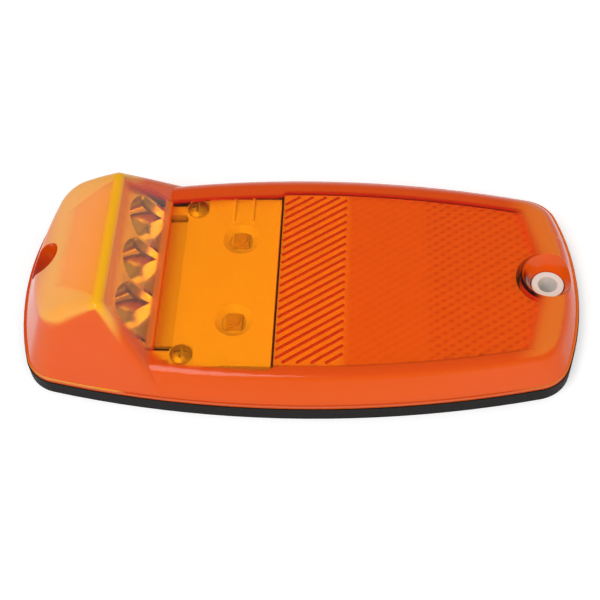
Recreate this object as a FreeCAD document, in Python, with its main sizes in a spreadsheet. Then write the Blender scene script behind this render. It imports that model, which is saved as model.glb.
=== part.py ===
# Vehicle side indicator lamp: an amber lens with a raised nose over rear and side LEDs and a reflex
# reflector, on a black base tray that sits in a rubber mounting gasket.
# Millimetres, +Z up, origin at the middle of the underside, nose towards -X, reflector towards +X.
import FreeCAD, Part
import math
import os
import Sketcher
from FreeCAD import Vector

# Driving dimensions: name, value, meaning.
DIMENSIONS = (
    ("body_length", 156.0, "length over the gasket"),
    ("body_width", 80.0, "width over the gasket at mid length"),
    ("side_radius", 302.0, "plan radius of the long sides"),
    ("end_radius", 79.0, "plan radius of the ends"),
    ("corner_radius", 10.7, "plan radius of the gasket corners"),
    ("crown_corner_radius", 8.0, "plan radius of the lens corners at the crown"),
    ("fit_gap", 0.2, "clearance between moulded pieces"),
    ("gasket_height", 4.4, "height of the gasket lip"),
    ("gasket_floor", 1.6, "thickness of the gasket pad"),
    ("gasket_lip", 2.2, "width of the gasket lip round the base"),
    ("base_floor", 1.8, "thickness of the base floor"),
    ("rib_inset", 4.7, "outside of the base rib, in from the gasket outline"),
    ("rib_width", 1.3, "width of the base rib"),
    ("rib_height", 1.8, "height of the base rib above the lens seat"),
    ("seal_width", 1.2, "width of the bonding bead"),
    ("seal_height", 0.9, "height of the bonding bead"),
    ("lens_wall", 2.2, "lens wall thickness"),
    ("flange_height", 1.2, "thickness of the lens foot flange"),
    ("flange_inset", 0.3, "lens flange edge, in from the gasket outline"),
    ("wall_inset", 0.8, "foot of the lens wall, in from the gasket outline"),
    ("side_lean", 0.83, "inward lean of the lens sides per unit of height"),
    ("nose_lean", 0.52, "inward lean of the nose sides per unit of height"),
    ("end_lean", 0.45, "inward lean of the lens ends per unit of height"),
    ("flat_height", 12.0, "top of the flat of the lens"),
    ("ridge_x", 28.0, "place of the nose ridge, from the nose end"),
    ("ridge_height", 28.0, "height of the nose ridge"),
    ("window_foot_x", 39.5, "foot of the nose window, from the nose end"),
    ("roof_radius", 47.0, "radius of the nose roof"),
    ("roof_tail_height", 9.2, "height of the roof over the nose end"),
    ("tail_ratio", 1.45, "drop of the roof's tail per unit of wall thickness"),
    ("crown_margin", 3.0, "height of the wall loft above the ridge"),
    ("flat_fillet", 4.0, "rounding of the flat's edge"),
    ("nose_fillet", 2.4, "rounding of the nose edges"),
    ("end_fillet", 6.0, "rounding of the nose end"),
    ("left_hole_inset", 7.2, "mounting hole at the nose, in from the end"),
    ("right_hole_inset", 8.8, "mounting hole at the reflector, in from the end"),
    ("bush_bore", 5.4, "mounting bush bore"),
    ("bush_shank", 7.0, "mounting bush shank diameter"),
    ("bush_flange", 8.8, "mounting bush flange diameter"),
    ("bush_flange_height", 0.8, "mounting bush flange thickness"),
    ("boss_diameter", 10.0, "mounting boss diameter"),
    ("right_boss_height", 6.8, "top of the boss at the reflector end"),
    ("head_well", 9.4, "diameter of the screw head wells in the lens"),
    ("well_wall", 1.6, "wall of the screw head wells"),
    ("dish_diameter", 14.8, "mouth of the dished well at the reflector end"),
    ("deck_left", 44.7, "nose edge of the deck, from the nose end"),
    ("deck_right", 71.8, "reflector edge of the deck, from the nose end"),
    ("deck_half_width", 10.8, "half width of the deck, in from the widest side"),
    ("deck_height", 8.0, "top of the deck"),
    ("deck_step_x", 50.6, "step between the deck and its screw ledge, from the nose end"),
    ("ledge_height", 7.2, "top of the screw ledge"),
    ("deck_under", 6.2, "underside of the deck, on the board"),
    ("screw_x", 47.35, "place of the carrier screws, from the nose end"),
    ("screw_y", 14.5, "half distance between the carrier screws, in from the widest side"),
    ("screw_shank", 2.9, "carrier screw thread diameter"),
    ("screw_head", 6.0, "carrier screw head diameter"),
    ("screw_head_height", 2.0, "carrier screw head height"),
    ("screw_length", 4.6, "carrier screw length under the head"),
    ("screw_hole", 3.4, "clearance hole for the carrier screws"),
    ("post_diameter", 6.4, "base posts under the carrier screws"),
    ("cross_slot_width", 0.7, "width of the screw driver cross"),
    ("cross_slot_length", 3.4, "length of the screw driver cross"),
    ("cross_slot_depth", 1.1, "depth of the screw driver cross"),
    ("side_led_x", 60.9, "place of the side LEDs, from the nose end"),
    ("side_led_y", 14.2, "half distance between the side LEDs"),
    ("bowl_mouth", 10.6, "mouth of the LED bowls in the deck"),
    ("bowl_throat", 6.9, "throat of the LED bowls"),
    ("bowl_land", 0.5, "height of the straight throat"),
    ("led_size", 4.4, "side of the LED packages"),
    ("led_height", 1.5, "height of the LED packages"),
    ("led_dome", 3.4, "diameter of the LED domes"),
    ("led_dome_height", 0.5, "height of the LED domes"),
    ("board_thickness", 1.2, "circuit board thickness"),
    ("deck_board_right", 70.0, "reflector edge of the deck board, from the nose end"),
    ("deck_board_half_width", 18.2, "half width of the deck board, in from the widest side"),
    ("nose_board_x", 22.8, "front of the nose board, from the nose end"),
    ("nose_board_half_width", 18.0, "half width of the nose board, in from the widest side"),
    ("nose_board_bottom", 3.6, "lower edge of the nose board"),
    ("nose_board_top", 18.4, "upper edge of the nose board"),
    ("cup_margin", 33.8, "width that the row of cups leaves free"),
    ("cup_axis_height", 14.0, "height of the cup axes"),
    ("cup_focus", 2.0, "focal length of the cups"),
    ("cup_vertex_setback", 1.0, "cup vertex in front of the nose board"),
    ("cup_depth", 20.0, "length of the cup paraboloid"),
    ("cup_web", 0.9, "thickness of the webs between the cups"),
    ("cup_led_hole", 6.8, "hole for the LED in each cup"),
    ("cup_hole_depth", 4.0, "length of the LED hole from the nose board"),
    ("cup_front_gap", 0.9, "gap between the window and the cup front"),
    ("cup_side_gap", 0.6, "gap between the lens sides and the cup block"),
    ("cup_shelf_height", 23.8, "top shelf of the cup block"),
    ("cup_shelf_x", 25.6, "rear edge of the top shelf, from the nose end"),
    ("cup_back_height", 20.6, "top of the rear of the cup block"),
    ("cup_bottom", 6.4, "underside of the cup block"),
    ("cup_lip_height", 7.7, "lower edge of the cup front"),
    ("cup_ear_left", 24.0, "rear edge of the cup ears, from the nose end"),
    ("cup_ear_right", 32.0, "front edge of the cup ears, from the nose end"),
    ("cup_ear_thickness", 1.2, "thickness of the cup ears"),
    ("rail_inner", 16.0, "inside of the carrier rails, in from the widest side"),
    ("rail_outer", 13.0, "outside of the carrier rails, in from the widest side"),
    ("cheek_inner", 15.0, "inside of the carrier cheeks"),
    ("cheek_outer", 16.6, "outside of the carrier cheeks"),
    ("cheek_left", 12.5, "rear edge of the carrier cheeks, from the nose end"),
    ("bar_left", 18.0, "rear edge of the carrier cross bars, from the nose end"),
    ("roof_plate", 1.2, "thickness of the carrier roof"),
    ("roof_gap", 0.8, "gap between the lens roof and the carrier roof"),
    ("roof_half_width", 19.6, "half width of the carrier roof, in from the widest side"),
    ("band_half_width", 5.1, "half width of the raised band on the carrier roof"),
    ("band_height", 0.5, "height of the raised band"),
    ("notch_radius", 7.4, "clearance round the nose screw well"),
    ("deck_rib_width", 0.7, "width of the deck ribs"),
    ("deck_rib_height", 0.8, "height of the deck ribs"),
    ("deck_rib_start", 20.8, "inner end of the deck ribs"),
    ("deck_rib_pitch", 5.5, "distance between the deck ribs"),
    ("stake_diameter", 2.0, "board stake diameter"),
    ("stake_head", 3.0, "board stake head diameter"),
    ("stake_head_height", 0.6, "board stake head height"),
    ("stake_left_x", 49.0, "place of the nose side board stake, from the nose end"),
    ("stake_right_x", 67.5, "place of the reflector side board stake, from the nose end"),
    ("pin_size", 0.64, "side of the square link pins"),
    ("pin_pitch", 2.54, "distance between the link pins"),
    ("pin_height", 6.9, "height of the pins through the nose board"),
    ("pin_setback", 1.6, "pin bend in front of the nose board"),
    ("pin_tail", 0.8, "pin ends past the boards"),
    ("reflector_left", 72.65, "nose edge of the reflex reflector, from the nose end"),
    ("reflector_inset", 10.2, "reflector side, in from the gasket outline"),
    ("reflector_corner", 3.0, "plan radius of the reflector corners"),
    ("reflector_gap", 0.3, "gap between the lens flat and the reflector"),
    ("reflector_plate", 1.6, "thickness of the reflector plate"),
    ("reflector_skirt", 1.2, "thickness of the reflector skirt"),
    ("reflector_notch", 9.0, "radius round the mounting well"),
    ("prism_radius", 2.7, "corner to centre of the hexagonal prisms"),
    ("prism_land", 0.3, "straight foot of the prisms"),
    ("prism_root", 0.5, "depth of the prism roots in the plate"),
    ("strip_gap", 0.7, "plain line between the prism fields"),
    ("field_two_x", 92.4, "start of the second prism field, from the nose end"),
    ("field_three_x", 114.6, "start of the third prism field, from the nose end"),
    ("field_four_x", 134.0, "start of the fourth prism field, from the nose end"),
    ("grommet_x", 15.8, "place of the cable grommet, from the nose end"),
    ("grommet_y", 10.0, "place of the cable grommet across the lamp"),
    ("grommet_bore", 5.0, "cable bore of the grommet"),
    ("grommet_neck", 7.6, "grommet neck in the base"),
    ("grommet_flange", 9.6, "grommet flange diameter"),
    ("grommet_flange_height", 1.4, "grommet flange thickness"),
    ("resistor_length", 6.3, "length of the series resistors"),
    ("resistor_width", 3.2, "width of the series resistors"),
    ("resistor_height", 0.7, "height of the series resistors"),
    ("resistor_pitch", 5.0, "distance between the series resistors"),
    ("resistor_x", 56.0, "place of the series resistors, from the nose end"),
    ("diode_length", 3.8, "length of the supply diode"),
    ("diode_width", 2.4, "width of the supply diode"),
    ("diode_height", 1.1, "height of the supply diode"),
    ("diode_x", 38.0, "place of the supply diode, from the nose end"),
    ("driver_size", 4.4, "side of the LED driver"),
    ("driver_height", 1.2, "height of the LED driver"),
    ("driver_x", 31.0, "place of the LED driver, from the nose end"),
)

doc = FreeCAD.newDocument("indicator_lamp")
sheet = doc.addObject("Spreadsheet::Sheet", "dims")
for row, (alias, number, meaning) in enumerate(DIMENSIONS, start=1):
    sheet.set(f"A{row}", str(number))
    sheet.setAlias(f"A{row}", alias)
    sheet.set(f"B{row}", meaning)
doc.recompute()


class Size:
    """A length worked out from the sheet: its number now, and the formula that binds it."""

    def __init__(self, number, formula):
        self.number = number
        self.formula = formula

    def __add__(self, other):
        other = as_size(other)
        return Size(self.number + other.number, f"({self.formula} + {other.formula})")

    def __sub__(self, other):
        other = as_size(other)
        return Size(self.number - other.number, f"({self.formula} - {other.formula})")

    def __rsub__(self, other):
        return as_size(other) - self

    def __mul__(self, other):
        other = as_size(other)
        return Size(self.number * other.number, f"({self.formula} * {other.formula})")

    def __truediv__(self, other):
        other = as_size(other)
        return Size(self.number / other.number, f"({self.formula} / {other.formula})")

    def __neg__(self):
        return Size(-self.number, f"(0 - {self.formula})")


def as_size(value):
    """A plain number as a Size."""
    if isinstance(value, Size):
        return value
    return Size(float(value), f"({float(value)})")


def root(size):
    """Square root of a Size."""
    return Size(math.sqrt(size.number), f"sqrt({size.formula})")


def dim(alias):
    """The sheet's value of one driving dimension."""
    return Size(sheet.get(alias), f"dims.{alias}")


def bind(item, prop, size):
    """Tie a property of a document object to the sheet."""
    item.setExpression(prop, as_size(size).formula)


def place(alias):
    """A place along X that the sheet gives from the nose end."""
    return dim(alias) - dim("body_length") / 2


def reach_in(alias):
    """A half width that the sheet gives in from the widest side."""
    return dim("body_width") / 2 - dim(alias)


ZERO = as_size(0)
REAR_NAMES = ("near", "middle", "far")
CUP_COUNT = 3
PIN_COUNT = 4
RESISTOR_COUNT = 4
fit_gap = dim("fit_gap")
lens_wall = dim("lens_wall")
lens_seat = dim("gasket_height")
flange_top = lens_seat + dim("flange_height")
floor_top = dim("gasket_floor") + dim("base_floor")
crown = dim("ridge_height") + dim("crown_margin")
left_hole_x = place("left_hole_inset")
right_hole_x = dim("body_length") / 2 - dim("right_hole_inset")
cup_pitch = (dim("body_width") - dim("cup_margin")) / CUP_COUNT
end_slant = root(dim("end_lean") * dim("end_lean") + 1)
window_run = place("window_foot_x") - place("ridge_x")
window_drop = dim("ridge_height") - dim("flat_height")
window_length = root(window_run * window_run + window_drop * window_drop)
inner_flat = dim("flat_height") - lens_wall
deck_board_left = place("nose_board_x") + fit_gap
board_under = dim("deck_under") - dim("board_thickness")
reflector_top = inner_flat - dim("reflector_gap")
reflector_under = reflector_top - dim("reflector_plate")
left_tube = dim("head_well") + dim("well_wall") * 2
sides = (-1, 1)


# Sketch helpers

def new_body(name):
    return doc.addObject("PartDesign::Body", name)


def new_sketch(body, name, plane, level):
    """A sketch on one of the body's own origin planes, raised to a level along its normal."""
    sketch = body.newObject("Sketcher::SketchObject", name)
    support = [item for item in body.Origin.OriginFeatures if item.Role == plane][0]
    sketch.AttachmentSupport = [(support, "")]
    sketch.MapMode = "FlatFace"
    bind(sketch, "AttachmentOffset.Base.z", level)
    return sketch


def hold(sketch, kind, places, size):
    """Add one dimension to a sketch and tie it to the sheet."""
    index = sketch.addConstraint(Sketcher.Constraint(kind, *places, size.number))
    bind(sketch, f"Constraints[{index}]", size)


def hold_point(sketch, geometry, position, x, y):
    """Fix a point of a sketch by its distances from the sketch's origin."""
    hold(sketch, "DistanceX", (-1, 1, geometry, position), x)
    hold(sketch, "DistanceY", (-1, 1, geometry, position), y)


def arc_by_ends(start, end, radius):
    """The shorter arc of a radius from start to end, bulging to the left of that direction."""
    chord = end - start
    middle = (start + end) * 0.5
    left = Vector(-chord.y, chord.x, 0) / chord.Length
    rise = radius - math.sqrt(radius ** 2 - chord.Length ** 2 / 4)
    return Part.Arc(start, middle + left * rise, end)


def outline_sketch(body, name, plane, level, points, arcs=None):
    """A closed outline through points; arcs gives the radius of a side by the index of its first point."""
    sketch = new_sketch(body, name, plane, level)
    arcs = arcs or {}
    corners = [Vector(x.number, y.number, 0) for x, y in points]
    ends = []
    for index, corner in enumerate(corners):
        following = corners[(index + 1) % len(corners)]
        if index in arcs:
            curve = arc_by_ends(corner, following, arcs[index].number)
            sketch.addGeometry(curve, False)
            ends.append((2, 1))
        else:
            sketch.addGeometry(Part.LineSegment(corner, following), False)
            ends.append((1, 2))
    for index, (x, y) in enumerate(points):
        following = (index + 1) % len(points)
        sketch.addConstraint(
            Sketcher.Constraint("Coincident", index, ends[index][1], following, ends[following][0]))
        hold_point(sketch, index, ends[index][0], x, y)
    for index, radius in arcs.items():
        hold(sketch, "Radius", (index,), radius)
    return sketch


def rectangle_sketch(body, name, plane, level, low, high):
    corners = [low, (high[0], low[1]), high, (low[0], high[1])]
    return outline_sketch(body, name, plane, level, corners)


def circle_sketch(body, name, plane, level, circles):
    """Circles given as centre x, centre y and diameter."""
    sketch = new_sketch(body, name, plane, level)
    for index, (x, y, diameter) in enumerate(circles):
        centre = Vector(x.number, y.number, 0)
        sketch.addGeometry(Part.Circle(centre, Vector(0, 0, 1), diameter.number / 2), False)
        hold_point(sketch, index, 3, x, y)
        hold(sketch, "Diameter", (index,), diameter)
    return sketch


def angle_of(vector):
    return math.atan2(vector.y, vector.x)


def barrel_sketch(body, name, level, side_inset, end_inset, corner):
    """The lamp's barrel-shaped plan: two long side arcs, two end arcs and four tangent corners."""
    sketch = new_sketch(body, name, "XY_Plane", level)
    side_back = dim("side_radius") - (dim("body_width") / 2 - side_inset)
    end_back = dim("end_radius") - (dim("body_length") / 2 - end_inset)
    side_radius = dim("side_radius").number
    end_radius = dim("end_radius").number
    radius = corner.number
    side_centre = Vector(0, -side_back.number, 0)
    end_centre = Vector(-end_back.number, 0, 0)
    between = end_centre - side_centre
    reach_side = side_radius - radius
    reach_end = end_radius - radius
    along = (reach_side ** 2 - reach_end ** 2 + between.Length ** 2) / (2 * between.Length)
    across = math.sqrt(reach_side ** 2 - along ** 2)
    step = between / between.Length
    corner_centre = side_centre + step * along + Vector(-step.y, step.x, 0) * across
    if corner_centre.x < 0:
        corner_centre = side_centre + step * along - Vector(-step.y, step.x, 0) * across
    side_angle = angle_of(corner_centre - side_centre)
    end_angle = angle_of(corner_centre - end_centre)

    def add_arc(centre, arc_radius, start, end):
        circle = Part.Circle(centre, Vector(0, 0, 1), arc_radius)
        sketch.addGeometry(Part.ArcOfCircle(circle, start, end), False)

    add_arc(end_centre, end_radius, -end_angle, end_angle)
    add_arc(corner_centre, radius, end_angle, side_angle)
    add_arc(side_centre, side_radius, side_angle, math.pi - side_angle)
    add_arc(Vector(-corner_centre.x, corner_centre.y, 0), radius, math.pi - side_angle, math.pi - end_angle)
    add_arc(-end_centre, end_radius, math.pi - end_angle, math.pi + end_angle)
    add_arc(-corner_centre, radius, math.pi + end_angle, math.pi + side_angle)
    add_arc(-side_centre, side_radius, math.pi + side_angle, 2 * math.pi - side_angle)
    add_arc(Vector(corner_centre.x, -corner_centre.y, 0), radius, -side_angle, -end_angle)
    arc_count = 8
    for index in range(arc_count):
        sketch.addConstraint(Sketcher.Constraint("Tangent", index, 2, (index + 1) % arc_count, 1))
    for index, way in ((0, -1), (4, 1)):
        sketch.addConstraint(Sketcher.Constraint("PointOnObject", index, 3, -1))
        hold(sketch, "DistanceX", (-1, 1, index, 3), end_back * way)
        hold(sketch, "Radius", (index,), dim("end_radius"))
    for index, way in ((2, -1), (6, 1)):
        sketch.addConstraint(Sketcher.Constraint("PointOnObject", index, 3, -2))
        hold(sketch, "DistanceY", (-1, 1, index, 3), side_back * way)
        hold(sketch, "Radius", (index,), dim("side_radius"))
    for index in (1, 3, 5, 7):
        hold(sketch, "Radius", (index,), corner)
    return sketch


def even_barrel(body, name, level, inset):
    """The barrel plan drawn in by the same amount all round."""
    return barrel_sketch(body, name, level, inset, inset, dim("corner_radius") - inset)


# Feature helpers

def pad(body, sketch, length, symmetric=False):
    feature = body.newObject("PartDesign::Pad", sketch.Name + "_pad")
    feature.Profile = sketch
    bind(feature, "Length", length)
    if symmetric:
        feature.SideType = "Symmetric"
    doc.recompute()
    return feature


def pocket(body, sketch, depth, upwards=False, symmetric=False):
    """Cut a sketch's outline away, down from its level or up from it."""
    before = body.Shape.Volume
    feature = body.newObject("PartDesign::Pocket", sketch.Name + "_pocket")
    feature.Profile = sketch
    bind(feature, "Length", depth)
    feature.Reversed = upwards
    if symmetric:
        feature.SideType = "Symmetric"
    doc.recompute()
    if body.Shape.Volume >= before:
        raise RuntimeError(f"{feature.Name} cuts nothing")
    return feature


def spin(body, sketch, axis, cutting=False):
    """Turn a sketch about one of its own axes, to add or to cut."""
    kind = "PartDesign::Groove" if cutting else "PartDesign::Revolution"
    feature = body.newObject(kind, sketch.Name + "_turned")
    feature.Profile = sketch
    feature.ReferenceAxis = (sketch, [axis])
    feature.Angle = 360
    doc.recompute()
    return feature


def loft(body, lower, upper):
    feature = body.newObject("PartDesign::AdditiveLoft", lower.Name + "_loft")
    feature.Profile = lower
    feature.Sections = [upper]
    feature.Ruled = True
    doc.recompute()
    return feature


def box(name, low, high):
    """A block between two corners given as Sizes."""
    item = doc.addObject("Part::Box", name)
    for prop, axis, start, end in zip(("Length", "Width", "Height"), "xyz", low, high):
        bind(item, prop, as_size(end) - start)
        bind(item, f"Placement.Base.{axis}", start)
    return item


def cylinder(name, x, y, low, high, diameter):
    item = doc.addObject("Part::Cylinder", name)
    bind(item, "Radius", diameter / 2)
    bind(item, "Height", as_size(high) - low)
    for axis, spot in zip("xyz", (x, y, low)):
        bind(item, f"Placement.Base.{axis}", spot)
    return item


def cone(name, x, y, low, high, low_diameter, high_diameter):
    item = doc.addObject("Part::Cone", name)
    bind(item, "Radius1", low_diameter / 2)
    bind(item, "Radius2", high_diameter / 2)
    bind(item, "Height", as_size(high) - low)
    for axis, spot in zip("xyz", (x, y, low)):
        bind(item, f"Placement.Base.{axis}", spot)
    return item


def cut(name, base, tool):
    item = doc.addObject("Part::Cut", name)
    item.Base = base
    item.Tool = tool
    return item


def common(name, first, second):
    item = doc.addObject("Part::Common", name)
    item.Base = first
    item.Tool = second
    return item


def fuse(name, items):
    item = doc.addObject("Part::MultiFuse", name)
    item.Shapes = items
    return item


def group(name, items):
    item = doc.addObject("Part::Compound", name)
    item.Links = items
    return item


# Shared lens forms

def lens_space(name, base_level, depth, lean):
    """A solid with leaning sides, drawn in from the outside of the lens wall by a depth."""
    body = new_body(name)
    side_slant = root(lean * lean + 1)
    rise = base_level - flange_top
    high = crown - flange_top
    corner = dim("corner_radius") - dim("wall_inset") - depth
    lower = barrel_sketch(
        body, name + "_foot", base_level,
        dim("wall_inset") + rise * lean + side_slant * depth,
        dim("wall_inset") + rise * dim("end_lean") + end_slant * depth, corner)
    upper = barrel_sketch(
        body, name + "_crown", crown,
        dim("wall_inset") + high * lean + side_slant * depth,
        dim("wall_inset") + high * dim("end_lean") + end_slant * depth,
        dim("crown_corner_radius") - depth)
    loft(body, lower, upper)
    return body


def window_shift(depth):
    """Run along X between two parallel lines, level with each other, at the window's top or foot."""
    return depth * (window_length - window_run) / window_drop


def nose_space(name, base_level, depth):
    """The nose's own space: steep sides under the roof and behind the window, each drawn in by a depth."""
    body = lens_space(name, base_level, depth, dim("nose_lean"))
    reach = dim("body_length") / 2
    over = crown + dim("crown_margin")
    ridge = (place("ridge_x") - window_shift(depth), dim("ridge_height") - depth)
    tail = (-reach, dim("roof_tail_height") - depth * dim("tail_ratio"))
    points = [tail, ridge, (window_x(ZERO, depth), ZERO), (reach, ZERO), (reach, over), (-reach, over)]
    sketch = outline_sketch(body, name + "_profile", "XZ_Plane", ZERO, points, {0: dim("roof_radius") - depth})
    pocket(body, sketch, dim("body_width") * 2, symmetric=True)
    return body


def flat_space(name, base_level, depth):
    """The space under the lens flat, from the nose to the far end, drawn in by a depth."""
    body = lens_space(name, base_level, depth, dim("side_lean"))
    reach = dim("body_length") / 2
    over = crown + dim("crown_margin")
    level = dim("flat_height") - depth
    points = [(-reach, ZERO), (place("ridge_x"), ZERO), (place("ridge_x"), level), (reach, level), (reach, over),
              (-reach, over)]
    pocket(body, outline_sketch(body, name + "_profile", "XZ_Plane", ZERO, points), dim("body_width") * 2,
           symmetric=True)
    return body


def roof_centre():
    """Centre of the roof's arc in the XZ plane."""
    start = (-(dim("body_length") / 2), dim("roof_tail_height"))
    end = (place("ridge_x"), dim("ridge_height"))
    run = end[0] - start[0]
    climb = end[1] - start[1]
    chord = root(run * run + climb * climb)
    drop = root(dim("roof_radius") * dim("roof_radius") - chord * chord / 4)
    x = (start[0] + end[0]) / 2 + climb / chord * drop
    z = (start[1] + end[1]) / 2 - run / chord * drop
    return x, z


def on_roof(x, depth):
    """Height of the roof at x, lowered square to its surface by a depth."""
    centre_x, centre_z = roof_centre()
    radius = dim("roof_radius") - depth
    across = x - centre_x
    return centre_z + root(radius * radius - across * across)


def window_x(height, depth):
    """Place of the window at a height, set back square to its surface by a depth."""
    climb = dim("flat_height") - height
    return place("window_foot_x") + (climb * window_run - depth * window_length) / window_drop


# Sub-parts

def make_gasket():
    body = new_body("gasket_body")
    pad(body, even_barrel(body, "gasket_outline", ZERO, ZERO), dim("gasket_height"))
    lip = even_barrel(body, "gasket_seat", dim("gasket_floor"), dim("gasket_lip"))
    pocket(body, lip, dim("gasket_height"), upwards=True)
    shank = dim("bush_shank") + fit_gap * 2
    holes = [(left_hole_x, ZERO, shank), (right_hole_x, ZERO, shank)]
    holes.append((place("grommet_x"), dim("grommet_y"), dim("grommet_flange") + fit_gap * 2))
    pocket(body, circle_sketch(body, "gasket_holes", "XY_Plane", ZERO, holes), dim("gasket_floor"), upwards=True)
    return body


def make_base():
    body = new_body("base_body")
    base_inset = dim("gasket_lip") + fit_gap
    tray_inset = dim("rib_inset") + dim("rib_width")
    plate = even_barrel(body, "base_outline", dim("gasket_floor"), base_inset)
    pad(body, plate, lens_seat - dim("gasket_floor"))
    rib = even_barrel(body, "base_rib", lens_seat, dim("rib_inset"))
    pad(body, rib, dim("rib_height"))
    pocket(body, even_barrel(body, "base_hollow", floor_top, tray_inset), lens_seat, upwards=True)
    bosses = circle_sketch(body, "base_bosses", "XY_Plane", floor_top, [
        (right_hole_x, ZERO, dim("boss_diameter"))])
    pad(body, bosses, dim("right_boss_height") - floor_top)
    low_boss = circle_sketch(body, "base_low_boss", "XY_Plane", floor_top, [
        (left_hole_x, ZERO, dim("boss_diameter"))])
    pad(body, low_boss, lens_seat - floor_top)
    posts = circle_sketch(body, "base_posts", "XY_Plane", floor_top, [
        (place("screw_x"), reach_in("screw_y") * way, dim("post_diameter")) for way in sides])
    pad(body, posts, dim("deck_under") - floor_top)
    room = left_tube + fit_gap * 2
    notch = circle_sketch(body, "base_well_notch", "XY_Plane", lens_seat, [(left_hole_x, ZERO, room)])
    pocket(body, notch, dim("rib_height"), upwards=True)
    holes = [(left_hole_x, ZERO, dim("bush_shank")), (right_hole_x, ZERO, dim("bush_shank"))]
    holes.append((place("grommet_x"), dim("grommet_y"), dim("grommet_neck")))
    through = circle_sketch(body, "base_holes", "XY_Plane", dim("gasket_floor"), holes)
    pocket(body, through, dim("right_boss_height"), upwards=True)
    pilots = circle_sketch(body, "base_pilots", "XY_Plane", dim("deck_under"), [
        (place("screw_x"), reach_in("screw_y") * way, dim("screw_shank")) for way in sides])
    pocket(body, pilots, dim("screw_length") - (dim("ledge_height") - dim("deck_under")))
    return body


def make_seal():
    body = new_body("seal_body")
    outer = even_barrel(body, "seal_outline", lens_seat, dim("rib_inset") - dim("seal_width"))
    pad(body, outer, dim("seal_height"))
    pocket(body, even_barrel(body, "seal_inside", lens_seat, dim("rib_inset")), dim("seal_height"), upwards=True)
    notches = circle_sketch(body, "seal_notches", "XY_Plane", lens_seat, [
        (left_hole_x, ZERO, left_tube + fit_gap * 2),
        (right_hole_x, ZERO, dim("boss_diameter") + fit_gap * 2)])
    pocket(body, notches, dim("seal_height"), upwards=True)
    return body


def rounded(name, body, radius_of):
    """Round the edges of a body for which radius_of gives the name of a radius."""
    edges = []
    for index, edge in enumerate(body.Shape.Edges, start=1):
        radius = radius_of(edge.BoundBox)
        if radius:
            edges.append((index, dim(radius).number, dim(radius).number))
    item = doc.addObject("Part::Fillet", name)
    item.Base = body
    item.Edges = edges
    return item


def flat_rounding(bounds):
    """Radius of an edge of the flat's body: its rim, but not the edge inside the nose."""
    near = 1e-3
    on_flat = bounds.ZMin > dim("flat_height").number - near
    return "flat_fillet" if on_flat and bounds.XMax > place("ridge_x").number + near else None


def nose_rounding(bounds):
    """Radius of an edge of the nose: the roof's end, the roof's sides, the ridge and the window's sides."""
    near = 1e-3
    beside_window = bounds.XMax > place("ridge_x").number + near and bounds.ZMax > dim("flat_height").number
    if beside_window:
        return "nose_fillet"
    if bounds.ZMin < flange_top.number + near:
        return None
    return "end_fillet" if bounds.XMin < place("cheek_left").number else "nose_fillet"


def make_lens():
    nose = rounded("nose_rounded", nose_space("nose_outside", flange_top, ZERO), nose_rounding)
    flat = rounded("flat_rounded", flat_space("flat_outside", flange_top, ZERO), flat_rounding)
    cavity = fuse("lens_cavity", [
        nose_space("nose_inside", lens_seat, lens_wall), flat_space("flat_inside", lens_seat, lens_wall)])
    flange = new_body("lens_flange")
    flange_outline = even_barrel(flange, "flange_outline", lens_seat, dim("flange_inset"))
    pad(flange, flange_outline, dim("flange_height"))
    full = fuse("lens_full", [nose, flat, flange])
    shell = cut("lens_shell", full, cavity)
    right_x = right_hole_x
    well = dim("head_well")
    dish_tube = dim("dish_diameter") + dim("well_wall") / 2
    seat = dim("right_boss_height") + dim("bush_flange_height")
    tubes = fuse("lens_tubes", [
        cylinder("lens_left_tube", left_hole_x, ZERO, lens_seat, crown, left_tube),
        cylinder("lens_right_tube", right_x, ZERO, dim("right_boss_height"), crown, dish_tube)])
    walls = common("lens_wells", full, tubes)
    boss_room = dim("boss_diameter") + fit_gap * 2
    holes = fuse("lens_holes", [
        cylinder("lens_left_hole", left_hole_x, ZERO, ZERO, crown, well),
        cylinder("lens_right_hole", right_x, ZERO, ZERO, seat, well),
        cylinder("lens_boss_room", right_x, ZERO, ZERO, dim("right_boss_height"), boss_room),
        cone("lens_right_dish", right_x, ZERO, seat, dim("flat_height"), well, dim("dish_diameter"))])
    return cut("lens_moulding", fuse("lens_with_wells", [shell, walls]), holes)


def inside_reflector(point):
    """True where a point of the plan is inside the reflector's skirt."""
    inset = dim("reflector_inset").number + dim("reflector_skirt").number
    side_radius = dim("side_radius").number
    end_radius = dim("end_radius").number
    side = dim("body_width").number / 2 - inset - side_radius + math.sqrt(side_radius ** 2 - point.x ** 2)
    end = dim("body_length").number / 2 - inset - end_radius + math.sqrt(end_radius ** 2 - point.y ** 2)
    well = dim("reflector_notch").number + dim("reflector_skirt").number
    corner = dim("reflector_corner").number
    clear_of_well = math.hypot(point.x - right_hole_x.number, point.y) > well
    in_corner = (side - abs(point.y)) + (end - point.x) < corner
    return abs(point.y) < side and point.x < end and clear_of_well and not in_corner


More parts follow.
